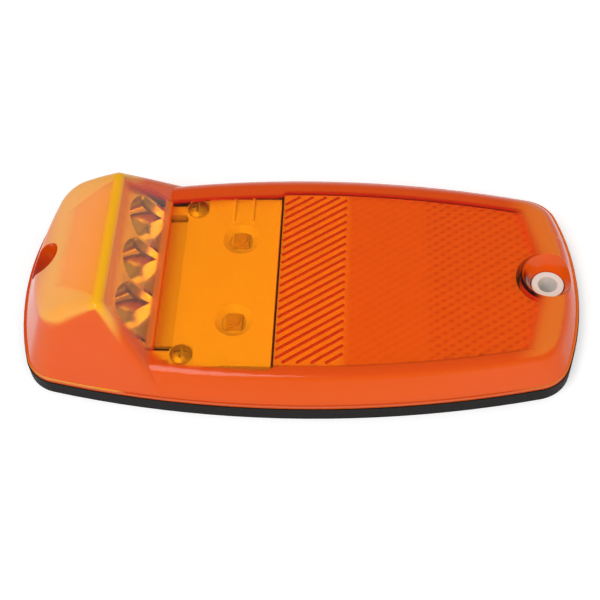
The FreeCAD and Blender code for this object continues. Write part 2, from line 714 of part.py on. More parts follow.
def prism_field(start, end, turned):
    """One closed solid of hexagonal corner-cube prisms, wherever a whole hexagon fits between two places."""
    radius = dim("prism_radius").number
    upper = reflector_under.number - dim("prism_land").number
    top = reflector_under.number + dim("prism_root").number
    step = radius * math.sqrt(0.5)
    column_pitch = radius * math.sqrt(3)
    row_pitch = radius * 1.5
    half_rows = int(dim("body_width").number / row_pitch / 2)
    columns = int((end - start) / column_pitch) + 1
    half_turn = math.pi if turned else 0

    def corner(centre, index, height):
        angle = half_turn + math.radians(90 - 60 * index)
        return Vector(centre.x + radius * math.cos(angle), centre.y + radius * math.sin(angle), height)

    cells = []
    for row in range(-half_rows, half_rows + 1):
        shift = column_pitch / 2 if row % 2 else 0
        for column in range(columns):
            centre = Vector(start + column_pitch * (column + 0.5) + shift, row * row_pitch, 0)
            rim = [corner(centre, index, 0) for index in range(6)]
            if max(point.x for point in rim) < end and all(inside_reflector(point) for point in rim):
                cells.append(centre)
    if not cells:
        return None
    faces = []
    walls = {}
    for centre in cells:
        lows = [corner(centre, index, upper - step if index % 2 == 0 else upper) for index in range(6)]
        tops = [corner(centre, index, top) for index in range(6)]
        apex = Vector(centre.x, centre.y, upper - 2 * step)
        faces.append(tops)
        for index in (0, 2, 4):
            faces.append([apex, lows[index], lows[index + 1], lows[(index + 2) % 6]])
        for index in range(6):
            following = (index + 1) % 6
            middle = (tops[index] + tops[following]) * 0.5
            key = (round(middle.x, 3), round(middle.y, 3))
            walls.setdefault(key, []).append([tops[index], tops[following], lows[following], lows[index]])
    faces += [found[0] for found in walls.values() if len(found) == 1]
    shell = Part.makeShell([Part.Face(Part.makePolygon(face + face[:1])) for face in faces])
    return Part.makeSolid(shell)


def make_reflector():
    inset = dim("reflector_inset")
    skirt = dim("reflector_skirt")
    corner = dim("reflector_corner")
    half_width = dim("body_width") / 2
    reach = dim("body_length") / 2
    left = place("reflector_left")
    right_x = right_hole_x
    notch = dim("reflector_notch") * 2
    outside = new_body("reflector_outside")
    outline = barrel_sketch(outside, "reflector_outline", floor_top, inset, inset, corner)
    pad(outside, outline, reflector_top - floor_top)
    inside = new_body("reflector_inside")
    hollow = barrel_sketch(
        inside, "reflector_hollow", floor_top, inset + skirt, inset + skirt, corner - skirt)
    pad(inside, hollow, reflector_under - floor_top)

    def end_cuts(name, depth):
        block = box(name + "_end", (-reach, -half_width, ZERO), (left + depth, half_width, crown))
        well = cylinder(name + "_well", right_x, ZERO, ZERO, crown, notch + depth * 2)
        return fuse(name + "_cuts", [block, well])

    shell = cut("reflector_shell", outside, end_cuts("reflector_outer", ZERO))
    room = cut("reflector_room", inside, end_cuts("reflector_inner", skirt))
    tray = cut("reflector_tray", shell, room)
    starts = [(left + skirt), place("field_two_x"), place("field_three_x"), place("field_four_x"), reach]
    gap = dim("strip_gap").number / 2
    fields = []
    for index in range(len(starts) - 1):
        prisms = prism_field(starts[index].number + gap, starts[index + 1].number - gap, index % 2 == 1)
        if prisms:
            field = doc.addObject("Part::Feature", f"prism_field_{index + 1}")
            field.Shape = prisms
            fields.append(field)
    return fuse("reflector_moulding", [tray] + fields)


def roof_outline(body, name, left, right, lower, depth):
    """Area under the lens roof, between two places along X, from a floor or from a lower roof line."""
    points = [(left, on_roof(left, depth)), (right, on_roof(right, depth))]
    arcs = {0: dim("roof_radius") - depth}
    points += [(right, lower), (left, lower)]
    return outline_sketch(body, name, "XZ_Plane", ZERO, points, arcs)


def make_roof(left, right):
    """The carrier's roof under the nose, with its raised middle band and the cheeks that carry it."""
    depth = lens_wall + dim("roof_gap")
    under = depth + dim("roof_plate")
    base = floor_top

    def block(name, right_end, roof_depth, half_width):
        body = new_body(name)
        pad(body, roof_outline(body, name + "_side", left, right_end, base, roof_depth), half_width * 2, True)
        return body

    cheek_end = place("nose_board_x") - dim("board_thickness") - fit_gap
    plate = block("roof_block", right, depth, reach_in("roof_half_width"))
    band = block("band_block", right, depth - dim("band_height"), dim("band_half_width"))
    room = block("roof_room", right, under, reach_in("roof_half_width"))
    cheeks = cut(
        "roof_cheeks",
        block("cheek_block", cheek_end, under - fit_gap, dim("cheek_outer")),
        block("cheek_room", cheek_end, ZERO, dim("cheek_inner")))
    return fuse("carrier_nose", [cut("roof_shell", fuse("roof_solid", [plate, band]), room), cheeks])


def make_carrier():
    deck = new_body("deck_plate")
    half_width = reach_in("deck_half_width")
    under = dim("deck_under")
    ledge = dim("ledge_height")
    pad(deck, rectangle_sketch(
        deck, "deck_outline", "XY_Plane", under,
        (place("deck_left"), -half_width), (place("deck_right"), half_width)), dim("deck_height") - under)
    pocket(deck, rectangle_sketch(
        deck, "deck_ledge", "XY_Plane", ledge,
        (place("deck_left"), -half_width), (place("deck_step_x"), half_width)),
        dim("deck_height"), upwards=True)
    ear = dim("screw_head") + dim("well_wall")
    pad(deck, circle_sketch(deck, "deck_ears", "XY_Plane", under, [
        (place("screw_x"), reach_in("screw_y") * way, ear) for way in sides]), ledge - under)
    rail_right = place("screw_x") - dim("post_diameter") / 2 - fit_gap
    bar_right = place("nose_board_x") - dim("board_thickness") - fit_gap
    pieces = [deck, make_roof(place("cheek_left"), place("cup_shelf_x") - fit_gap)]
    for side, way in zip(("near", "far"), sides):
        def span(inner, outer):
            return (inner, outer) if way > 0 else (-outer, -inner)
        inner, outer = span(reach_in("rail_inner"), reach_in("rail_outer"))
        pieces.append(box(f"rail_{side}", (place("bar_left"), inner, floor_top), (rail_right, outer, ledge)))
        pieces.append(box(f"rail_link_{side}", (rail_right - fit_gap, inner, under), (place("screw_x"), outer, ledge)))
        inner, outer = span(dim("cheek_inner"), reach_in("rail_outer"))
        pieces.append(box(f"bar_{side}", (place("bar_left"), inner, floor_top), (bar_right, outer, ledge)))
    for index, way in enumerate(sides):
        middle = place("side_led_x") + dim("deck_rib_pitch") * way / 2
        pieces.append(box(
            f"deck_rib_{index}",
            (middle - dim("deck_rib_width") / 2, dim("deck_rib_start"), under),
            (middle + dim("deck_rib_width") / 2, half_width, dim("deck_height") + dim("deck_rib_height"))))
    stake_foot = board_under - dim("stake_head_height")
    for name in ("left", "right"):
        x = place(f"stake_{name}_x")
        pieces.append(cylinder(f"stake_{name}", x, ZERO, stake_foot, ledge, dim("stake_diameter")))
        pieces.append(cylinder(f"stake_head_{name}", x, ZERO, stake_foot, board_under, dim("stake_head")))
    cuts = [cylinder("carrier_well_notch", left_hole_x, ZERO, ZERO, crown, dim("notch_radius") * 2)]
    for index, way in enumerate(sides):
        x, y = place("side_led_x"), dim("side_led_y") * way
        throat = under + dim("bowl_land")
        cuts.append(cylinder(f"bowl_throat_{index}", x, y, ZERO, throat, dim("bowl_throat")))
        cuts.append(cone(
            f"bowl_{index}", x, y, throat, dim("deck_height"), dim("bowl_throat"), dim("bowl_mouth")))
        cuts.append(cylinder(
            f"screw_hole_{index}", place("screw_x"), reach_in("screw_y") * way, ZERO, crown, dim("screw_hole")))
    return cut("carrier_moulding", fuse("carrier_solid", pieces), fuse("carrier_cuts", cuts))


def paraboloid(name, x, y, z):
    """A solid paraboloid that opens along +X from its vertex."""
    item = doc.addObject("Part::Feature", name)
    focus = dim("cup_focus").number
    depth = dim("cup_depth").number
    mouth = math.sqrt(4 * focus * depth)
    curve = Part.Parabola()
    curve.Focal = focus
    edges = [
        curve.toBSpline(0, mouth).toShape(),
        Part.makeLine(Vector(depth, mouth, 0), Vector(depth, 0, 0)),
        Part.makeLine(Vector(depth, 0, 0), Vector(0, 0, 0))]
    item.Shape = Part.Face(Part.Wire(edges)).revolve(Vector(0, 0, 0), Vector(1, 0, 0), 360)
    for axis, spot in zip("xyz", (x, y, z)):
        bind(item, f"Placement.Base.{axis}", spot)
    return item


def make_cups():
    block = new_body("cup_side")
    depth = lens_wall + dim("cup_front_gap")
    back = place("nose_board_x") + fit_gap
    pin_room_x = place("nose_board_x") + dim("pin_setback") + fit_gap
    pin_room_top = dim("pin_height") + dim("pin_size") / 2 + fit_gap
    lip_x = window_x(dim("cup_lip_height"), depth)
    points = [
        (pin_room_x, dim("cup_bottom")), (pin_room_x, pin_room_top), (back, pin_room_top),
        (back, dim("cup_back_height")), (place("cup_shelf_x"), dim("cup_back_height")),
        (place("cup_shelf_x"), dim("cup_shelf_height")),
        (window_x(dim("cup_shelf_height"), depth), dim("cup_shelf_height")),
        (lip_x, dim("cup_lip_height")), (lip_x, dim("cup_bottom"))]
    row_half = cup_pitch * CUP_COUNT / 2 + dim("cup_web") / 2
    pad(block, outline_sketch(block, "cup_outline", "XZ_Plane", ZERO, points), row_half * 2, True)
    trimmed = common("cup_trimmed", block, lens_space(
        "cup_space", flange_top, lens_wall + dim("cup_side_gap"), dim("nose_lean")))
    ears = []
    ear_low = dim("ledge_height")
    ear_high = ear_low + dim("cup_ear_thickness")
    overlap = dim("cup_web") / 2
    for side, way in zip(("near", "far"), sides):
        inner, outer = row_half - overlap, reach_in("rail_outer")
        low, high = (inner, outer) if way > 0 else (-outer, -inner)
        ears.append(box(
            f"cup_ear_{side}", (place("cup_ear_left"), low, ear_low), (place("cup_ear_right"), high, ear_high)))
    cuts = []
    vertex = place("nose_board_x") + dim("cup_vertex_setback")
    half_bay = (cup_pitch - dim("cup_web")) / 2
    for index in (-1, 0, 1):
        name = REAR_NAMES[index + 1]
        y = cup_pitch * index
        bowl = paraboloid(f"cup_form_{name}", vertex, y, dim("cup_axis_height"))
        bay = box(f"cup_bay_{name}", (vertex, y - half_bay, dim("cup_bottom") + dim("cup_web")),
                  (ZERO, y + half_bay, crown))
        cuts.append(common(f"cup_{name}", bowl, bay))
        hole = cylinder(
            f"cup_hole_{name}", place("nose_board_x"), y, ZERO, dim("cup_hole_depth"), dim("cup_led_hole"))
        bind(hole, "Placement.Base.z", dim("cup_axis_height"))
        hole.Placement.Rotation = FreeCAD.Rotation(Vector(0, 1, 0), 90)
        cuts.append(hole)
    return cut("cup_moulding", fuse("cup_solid", [trimmed] + ears), fuse("cup_cuts", cuts))


def make_deck_board():
    half_width = reach_in("deck_board_half_width")
    plate = box("deck_board_plate", (deck_board_left, -half_width, board_under),
                (place("deck_board_right"), half_width, dim("deck_under")))
    holes = [cylinder(f"deck_board_hole_{name}", place(f"stake_{name}_x"), ZERO, ZERO, crown,
                      dim("stake_diameter")) for name in ("left", "right")]
    holes += [box(f"deck_board_pin_{index}", *pin_leg(index)) for index in range(PIN_COUNT)]
    return cut("deck_board_drilled", plate, fuse("deck_board_holes", holes))


def make_nose_board():
    half_width = reach_in("nose_board_half_width")
    plate = box("nose_board_plate",
                (place("nose_board_x") - dim("board_thickness"), -half_width, dim("nose_board_bottom")),
                (place("nose_board_x"), half_width, dim("nose_board_top")))
    holes = [box(f"nose_board_pin_{index}", *pin_arm(index)) for index in range(PIN_COUNT)]
    return cut("nose_board_drilled", plate, fuse("nose_board_holes", holes))


def pin_y(index):
    return dim("pin_pitch") * (index - (PIN_COUNT - 1) / 2)


def pin_arm(index):
    """Corners of the part of a link pin that goes through the nose board."""
    half = dim("pin_size") / 2
    rear = place("nose_board_x") - dim("board_thickness") - dim("pin_tail")
    return ((rear, pin_y(index) - half, dim("pin_height") - half),
            (place("nose_board_x") + dim("pin_setback"), pin_y(index) + half, dim("pin_height") + half))


def pin_leg(index):
    """Corners of the part of a link pin that goes down through the deck board."""
    half = dim("pin_size") / 2
    front = place("nose_board_x") + dim("pin_setback")
    return ((front - dim("pin_size"), pin_y(index) - half, board_under - dim("pin_tail")),
            (front, pin_y(index) + half, dim("pin_height") + half))


def make_link_pins():
    pins = []
    for index in range(PIN_COUNT):
        arm = box(f"pin_arm_{index}", *pin_arm(index))
        leg = box(f"pin_leg_{index}", *pin_leg(index))
        pins.append(fuse(f"pin_{index}", [arm, leg]))
    return group("link_pin_set", pins)


def make_side_led(name, way):
    half = dim("led_size") / 2
    x, y, low = place("side_led_x"), dim("side_led_y") * way, dim("deck_under")
    high = low + dim("led_height")
    package = box(name + "_package", (x - half, y - half, low), (x + half, y + half, high))
    dome = cylinder(name + "_dome", x, y, high, high + dim("led_dome_height"), dim("led_dome"))
    return fuse(name + "_whole", [package, dome])


def make_rear_led(name, index):
    half = dim("led_size") / 2
    low, y, z = place("nose_board_x"), cup_pitch * index, dim("cup_axis_height")
    high = low + dim("led_height")
    package = box(name + "_package", (low, y - half, z - half), (high, y + half, z + half))
    dome = cylinder(name + "_dome", high, y, ZERO, dim("led_dome_height"), dim("led_dome"))
    bind(dome, "Placement.Base.z", z)
    dome.Placement.Rotation = FreeCAD.Rotation(Vector(0, 1, 0), 90)
    return fuse(name + "_whole", [package, dome])


def make_screw(name, way):
    """A pan-head screw with a driver cross, turned about its own axis."""
    body = new_body(name)
    head = dim("screw_head") / 2
    shank = dim("screw_shank") / 2
    brim = dim("screw_head_height") / 2
    points = [
        (ZERO, -dim("screw_length")), (ZERO, dim("screw_head_height")), (head, brim), (head, ZERO),
        (shank, ZERO), (shank, -dim("screw_length"))]
    crown_radius = (head * head + brim * brim) / (brim * 2)
    spin(body, outline_sketch(body, name + "_side", "XZ_Plane", ZERO, points, {1: crown_radius}), "V_Axis")
    reach = dim("cross_slot_length") / 2
    half = dim("cross_slot_width") / 2
    for arm, (along, across) in enumerate(((reach, half), (half, reach))):
        slot = rectangle_sketch(
            body, f"{name}_slot_{arm}", "XY_Plane", dim("screw_head_height"), (-along, -across), (along, across))
        pocket(body, slot, dim("cross_slot_depth"))
    for axis, spot in zip("xyz", (place("screw_x"), reach_in("screw_y") * way, dim("ledge_height"))):
        bind(body, f"Placement.Base.{axis}", spot)
    return body


def make_bush(name, x, seat):
    """A flanged steel bush that keeps the mounting screw from crushing the base and gasket."""
    shank = cylinder(name + "_shank", x, ZERO, ZERO, seat, dim("bush_shank"))
    flange = cylinder(name + "_flange", x, ZERO, seat, seat + dim("bush_flange_height"), dim("bush_flange"))
    bore = cylinder(name + "_bore", x, ZERO, ZERO, crown, dim("bush_bore"))
    return cut(name + "_turned", fuse(name + "_blank", [shank, flange]), bore)


def make_grommet():
    x, y = place("grommet_x"), dim("grommet_y")
    low = dim("gasket_floor")
    lip = dim("grommet_flange_height")
    pieces = [
        cylinder("grommet_lower", x, y, low - lip, low, dim("grommet_flange")),
        cylinder("grommet_middle", x, y, low, floor_top, dim("grommet_neck")),
        cone("grommet_upper", x, y, floor_top, floor_top + lip, dim("grommet_flange"), dim("grommet_neck"))]
    bore = cylinder("grommet_hole", x, y, ZERO, crown, dim("grommet_bore"))
    return cut("grommet_moulding", fuse("grommet_solid", pieces), bore)


def under_board(name, x, y, length, width, height):
    """A component soldered under the deck board."""
    return box(name, (x - length / 2, y - width / 2, board_under - height),
               (x + length / 2, y + width / 2, board_under))


def make_resistors():
    pieces = []
    for index in range(RESISTOR_COUNT):
        y = dim("resistor_pitch") * (index - (RESISTOR_COUNT - 1) / 2)
        pieces.append(under_board(f"resistor_{index}", place("resistor_x"), y, dim("resistor_length"),
                                  dim("resistor_width"), dim("resistor_height")))
    return group("resistor_row", pieces)


nodes = []


def show(node, item):
    """Name a finished sub-part and keep it for writing."""
    item.Label = node
    nodes.append(item)


show("mounting_gasket", make_gasket())
show("base_tray", make_base())
show("lens_seal", make_seal())
show("lens", make_lens())
show("reflex_reflector", make_reflector())
show("lamp_carrier", make_carrier())
show("cup_reflector", make_cups())
show("deck_board", make_deck_board())
show("nose_board", make_nose_board())
show("link_pins", make_link_pins())
for side, way in zip(("near", "far"), sides):
    show(f"side_led_{side}", make_side_led(f"side_lamp_{side}", way))
for index, name in enumerate(REAR_NAMES):
    show(f"rear_led_{name}", make_rear_led(f"rear_lamp_{name}", index - 1))
show("carrier_screws", group("screw_pair", [make_screw("screw_near", -1), make_screw("screw_far", 1)]))
show("mounting_bush_left", make_bush("left_bush", left_hole_x, lens_seat))
show("mounting_bush_right", make_bush("right_bush", right_hole_x, dim("right_boss_height")))
show("cable_grommet", make_grommet())
show("series_resistors", make_resistors())
show("supply_diode", under_board("diode", place("diode_x"), ZERO, dim("diode_length"), dim("diode_width"),
                                 dim("diode_height")))
show("led_driver", under_board("driver", place("driver_x"), ZERO, dim("driver_size"), dim("driver_size"),
                               dim("driver_height")))
doc.recompute()


def check(items):
    """Stop if an object failed or a sub-part has no sound shape."""
    for item in doc.Objects:
        if "Invalid" in item.State or "Error" in item.State:
            raise RuntimeError(f"{item.Name} failed: {item.State}")
    for item in items:
        if item.Shape.isNull() or not item.Shape.isValid():
            raise RuntimeError(f"{item.Label} has no sound shape")


check(nodes)
os.makedirs("parts", exist_ok=True)
for item in nodes:
    item.Shape.exportStep(f"parts/{item.Label}.step")
    print(item.Label, len(item.Shape.Solids), round(item.Shape.Volume, 1))
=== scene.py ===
import math

import bmesh
import bpy
from bpy.props import FloatProperty, FloatVectorProperty, PointerProperty
from bpy.types import Operator, Panel, PropertyGroup
from mathutils import Matrix, Vector


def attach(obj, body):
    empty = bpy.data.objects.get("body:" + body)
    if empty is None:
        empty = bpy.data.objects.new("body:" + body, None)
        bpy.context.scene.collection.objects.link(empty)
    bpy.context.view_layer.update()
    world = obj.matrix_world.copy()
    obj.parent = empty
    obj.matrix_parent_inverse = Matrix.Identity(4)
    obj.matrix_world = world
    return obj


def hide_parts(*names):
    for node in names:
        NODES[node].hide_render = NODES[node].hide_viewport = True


bl_info = {
    "name": "Amber Side Indicator Lamp",
    "version": (1, 0, 0),
    "blender": (4, 5, 0),
    "location": "3D View > Sidebar > Indicator Lamp",
    "description": "Dresses the packed lamp with its mouldings' finishes and sets up its studio",
    "category": "3D View",
}

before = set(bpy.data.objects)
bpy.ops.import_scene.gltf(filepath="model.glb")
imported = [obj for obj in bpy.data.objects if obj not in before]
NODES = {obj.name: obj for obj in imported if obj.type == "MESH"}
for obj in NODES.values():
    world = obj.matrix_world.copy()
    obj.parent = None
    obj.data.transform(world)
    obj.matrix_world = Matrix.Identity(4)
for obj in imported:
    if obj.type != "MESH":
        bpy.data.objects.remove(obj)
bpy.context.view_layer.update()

MM = 0.001
PER_MM = 1000.0
SMOOTH = {"interpolation_type": "SMOOTHSTEP"}
SHARP_ANGLE = math.radians(28)
MERGE_DISTANCE = 0.001 * MM

# Sizes of the reflector's ribs and fields
RIB_PITCH = 2.2 * MM
RIB_WIDTH = 1.15 * MM
RIB_HEIGHT = 0.22 * MM
RIB_SINK = 0.05 * MM
RIB_SLANT = math.radians(35)
RIB_MARGIN = 0.4 * MM
RIB_HALF_SPAN = 29.0 * MM
FIRST_FIELD_END = 13.0 * MM
FIRST_FIELD_FADE = (15.0 * MM, 11.5 * MM)
LATER_FIELDS_FADE = (34.0 * MM, 38.0 * MM)
LATTICE_STRENGTH = (0.12, 0.5)
LATTICE_LINE = (0.4, 0.8)
CROSS_SHARE = 0.6
LATTICE_HEIGHT = 0.15 * MM
# The wave texture's phase per metre at a scale of 1
WAVE_RADIANS = 20.0

# The lens turns from clear to grained between the two values of each pair, which are places along or
# across the lamp, or the tilt of its face
SIDE_RADIUS = 302 * MM
NOSE_TAPER = -0.6
END_TAPER = 0.25
WALL_TILT = (0.15, 0.45)
FLAT_EDGE = (29.9 * MM, 31.2 * MM)
NOSE_EDGE = (49.0 * MM, 52.5 * MM)
FLAT_END = (66.0 * MM, 70.5 * MM)
ROOF_START = (-47.5 * MM, -50.0 * MM)
ROOF_END = (-56.0 * MM, -66.0 * MM)
ROOF_FROST = 0.62
DECK_END = (-4.0 * MM, -7.0 * MM)
FAR_SHIFT = (0.6 * MM, 2.0 * MM)

# The grained lens turns to another tone between the two values of each pair
RIM_TILT = (0.75, 0.95)
END_BORDER = (64.0 * MM, 73.0 * MM)
END_TILT = (0.85, 0.97)
ROOF_TONE_START = (-44.0 * MM, -48.0 * MM)
ROOF_TONE_END = (-76.0 * MM, -66.0 * MM)
ROOF_TILT = (0.45, 0.7)
FOOT_START = (-40.0 * MM, -39.2 * MM)
FOOT_END = (-37.4 * MM, -38.2 * MM)
FOOT_SIDE = (27.0 * MM, 25.0 * MM)
RIDGE_START = (-54.0 * MM, -51.2 * MM)
RIDGE_END = (-48.0 * MM, -50.2 * MM)
RIDGE_TILT = (0.5, 0.7)

ACRYLIC_IOR = 1.49
PLASTIC_IOR = 1.5
GRAIN_LIMITS = (0.3, 0.7)
PLASTIC_GLOSS_SPREAD = 0.15
METAL_GLOSS_SPREAD = 0.2

# The studio
FLOOR_REACH = 1500 * MM
FLOOR_LEVEL = -0.05 * MM
PAPER_GLOW = 0.36
CEILING_HEIGHTS = (0.25, 0.7)
SOFTBOX_SIZE = 500 * MM
KEY_PLACE = (-350 * MM, -450 * MM, 800 * MM)
FILL_PLACE = (450 * MM, -600 * MM, 350 * MM)
SENSOR_WIDTH_MM = 36.0
NEAR_CLIP = 10 * MM


def linear(hex_colour):
    """Linear RGBA of an sRGB hex colour."""
    channels = [int(hex_colour[place:place + 2], 16) / 255 for place in (1, 3, 5)]
    return tuple(c / 12.92 if c <= 0.04045 else ((c + 0.055) / 1.055) ** 2.4 for c in channels) + (1.0,)


WHITE = linear("#FFFFFF")


def colour_property(name, description, hex_colour):
    """A colour that a user can change, given as an sRGB hex value."""
    return FloatVectorProperty(
        name=name, description=description, subtype="COLOR", size=4, min=0.0, max=1.0,
        default=linear(hex_colour))


class LampFinish(PropertyGroup):
    """Colours and surface values of the lamp's mouldings."""

    wall_colour: colour_property("Lens walls", "Colour of the grained lens walls", "#EA5A0C")
    rim_colour: colour_property("Lens rim", "Colour of the rounded rim round the flat", "#E5510E")
    end_colour: colour_property("Lens end", "Colour of the flat's border at the reflector end", "#F07A26")
    roof_colour: colour_property("Nose roof", "Colour of the frosted roof of the nose", "#FDB048")
    # The ridge and the window's foot get painted light: paler lines that stand in for the light their
    # rounded edges gather.
    painted_ridge_light: colour_property("Nose ridge", "Colour of the nose's rounded ridge", "#FFBA18")
    painted_foot_light: colour_property("Window foot", "Colour of the line at the window's foot", "#EE7418")
    reflector_colour: colour_property("Reflector", "Colour of the reflector's plate", "#F09852")
    furrow_colour: colour_property("Reflector furrows", "Colour between the first field's ribs", "#FFCC88")
    rib_colour: colour_property("Reflector ribs", "Colour of the reflector's darker ribs", "#CC4510")
    white_colour: colour_property("Carrier", "Colour of the white carrier moulding", "#FAF8F4")
    rubber_colour: colour_property("Gasket", "Colour of the black rubber", "#151110")
    base_colour: colour_property("Base", "Colour of the black base moulding", "#1C1A1A")
    bush_colour: colour_property("Bush", "Colour of the plated bushes", "#EDE8E2")
    lens_depth: FloatProperty(
        name="Lens colour depth", description="How strongly the amber acrylic absorbs, per metre",
        default=1250.0, min=0.0)
    reflector_depth: FloatProperty(
        name="Reflector colour depth", description="How strongly the reflector's acrylic absorbs, per metre",
        default=500.0, min=0.0)


class LampStudio(PropertyGroup):
    """Camera and light of the studio."""

    elevation: FloatProperty(
        name="Elevation", description="Camera's angle above the floor", subtype="ANGLE",
        default=math.radians(53.39))
    azimuth: FloatProperty(
        name="Azimuth", description="Camera's turn round the lamp, towards its reflector end",
        subtype="ANGLE", default=math.radians(6.02))
    roll: FloatProperty(
        name="Roll", description="Camera's turn about its own axis", subtype="ANGLE",
        default=math.radians(-4.23))
    distance: FloatProperty(
        name="Distance", description="Camera's distance from its target", unit="LENGTH", default=353 * MM)
    focal_length: FloatProperty(
        name="Focal length", description="Camera's focal length on a 36 mm sensor, in millimetres",
        default=74.16)
    target: FloatVectorProperty(
        name="Target", description="Point that the camera looks at", subtype="XYZ", unit="LENGTH",
        default=(0.05 * MM, -0.61 * MM, 0.0))
    dome_strength: FloatProperty(
        name="Dome", description="Strength of the white surroundings", default=0.55)
    ceiling_strength: FloatProperty(
        name="Ceiling", description="How bright the ceiling shows in reflections", default=0.14)
    inside_strength: FloatProperty(
        name="Inside", description="How bright the studio shows in the cups behind the lens", default=0.5)
    key_power: FloatProperty(
        name="Key light", description="Power of the softbox over the nose", unit="POWER", default=3.8)
    fill_power: FloatProperty(
        name="Fill light", description="Power of the low softbox at the reflector end", unit="POWER",
        default=1.4)


def add_node(tree, kind, settings=None, inputs=None):
    """Add a shader node with its settings; an input takes a value or another node's output."""
    node = tree.nodes.new(kind)
    for name, value in (settings or {}).items():
        setattr(node, name, value)
    for name, value in (inputs or {}).items():
        if isinstance(value, bpy.types.NodeSocket):
            tree.links.new(value, node.inputs[name])
        else:
            node.inputs[name].default_value = value
    return node


def new_material(name):
    """An empty node material and its tree, with an output node."""
    material = bpy.data.materials.new(name)
    material.use_nodes = True
    tree = material.node_tree
    tree.nodes.clear()
    output = add_node(tree, "ShaderNodeOutputMaterial")
    return material, tree, output


def fine_bump(tree, size_mm, height_mm):
    """Outputs of a surface's unevenness, its normal and its height: spots of a size, with a height."""
    place = add_node(tree, "ShaderNodeTexCoord")
    noise = add_node(tree, "ShaderNodeTexNoise", inputs={
        "Vector": place.outputs["Object"], "Scale": PER_MM / size_mm, "Detail": 2.0})
    bump = add_node(tree, "ShaderNodeBump", inputs={
        "Height": noise.outputs["Fac"], "Distance": height_mm * MM, "Strength": 1.0})
    return bump.outputs["Normal"], noise.outputs["Fac"]


def let_light_in(tree, output, shader):
    """Lets lamplight straight through a clear moulding, which still bends what is seen through it."""
    path = add_node(tree, "ShaderNodeLightPath")
    clear = add_node(tree, "ShaderNodeBsdfTransparent")
    mix = add_node(tree, "ShaderNodeMixShader", inputs={
        0: path.outputs["Is Shadow Ray"], 1: shader, 2: clear.outputs["BSDF"]})
    tree.links.new(mix.outputs["Shader"], output.inputs["Surface"])


def plan_depth(tree, x, y):
    """Output that grows from the lamp's middle line to its barrel-shaped sides, in metres at mid length."""
    square = add_node(tree, "ShaderNodeMath", {"operation": "MULTIPLY"}, {0: x, 1: x})
    bulge = add_node(tree, "ShaderNodeMath", {"operation": "DIVIDE"}, {
        0: square.outputs[0], 1: 2 * SIDE_RADIUS})
    # The grained border is wider on the far side, most of all where the deck stops short of the wall.
    shift = add_node(tree, "ShaderNodeMapRange", SMOOTH, {
        "Value": x, "From Min": DECK_END[0], "From Max": DECK_END[1],
        "To Min": FAR_SHIFT[0], "To Max": FAR_SHIFT[1]})
    shifted = add_node(tree, "ShaderNodeMath", {"operation": "ADD"}, {0: y, 1: shift.outputs["Result"]})
    across = add_node(tree, "ShaderNodeMath", {"operation": "ABSOLUTE"}, {0: shifted.outputs[0]})
    total = add_node(tree, "ShaderNodeMath", {"operation": "ADD"}, {
        0: bulge.outputs[0], 1: across.outputs[0]})
    return total.outputs[0]


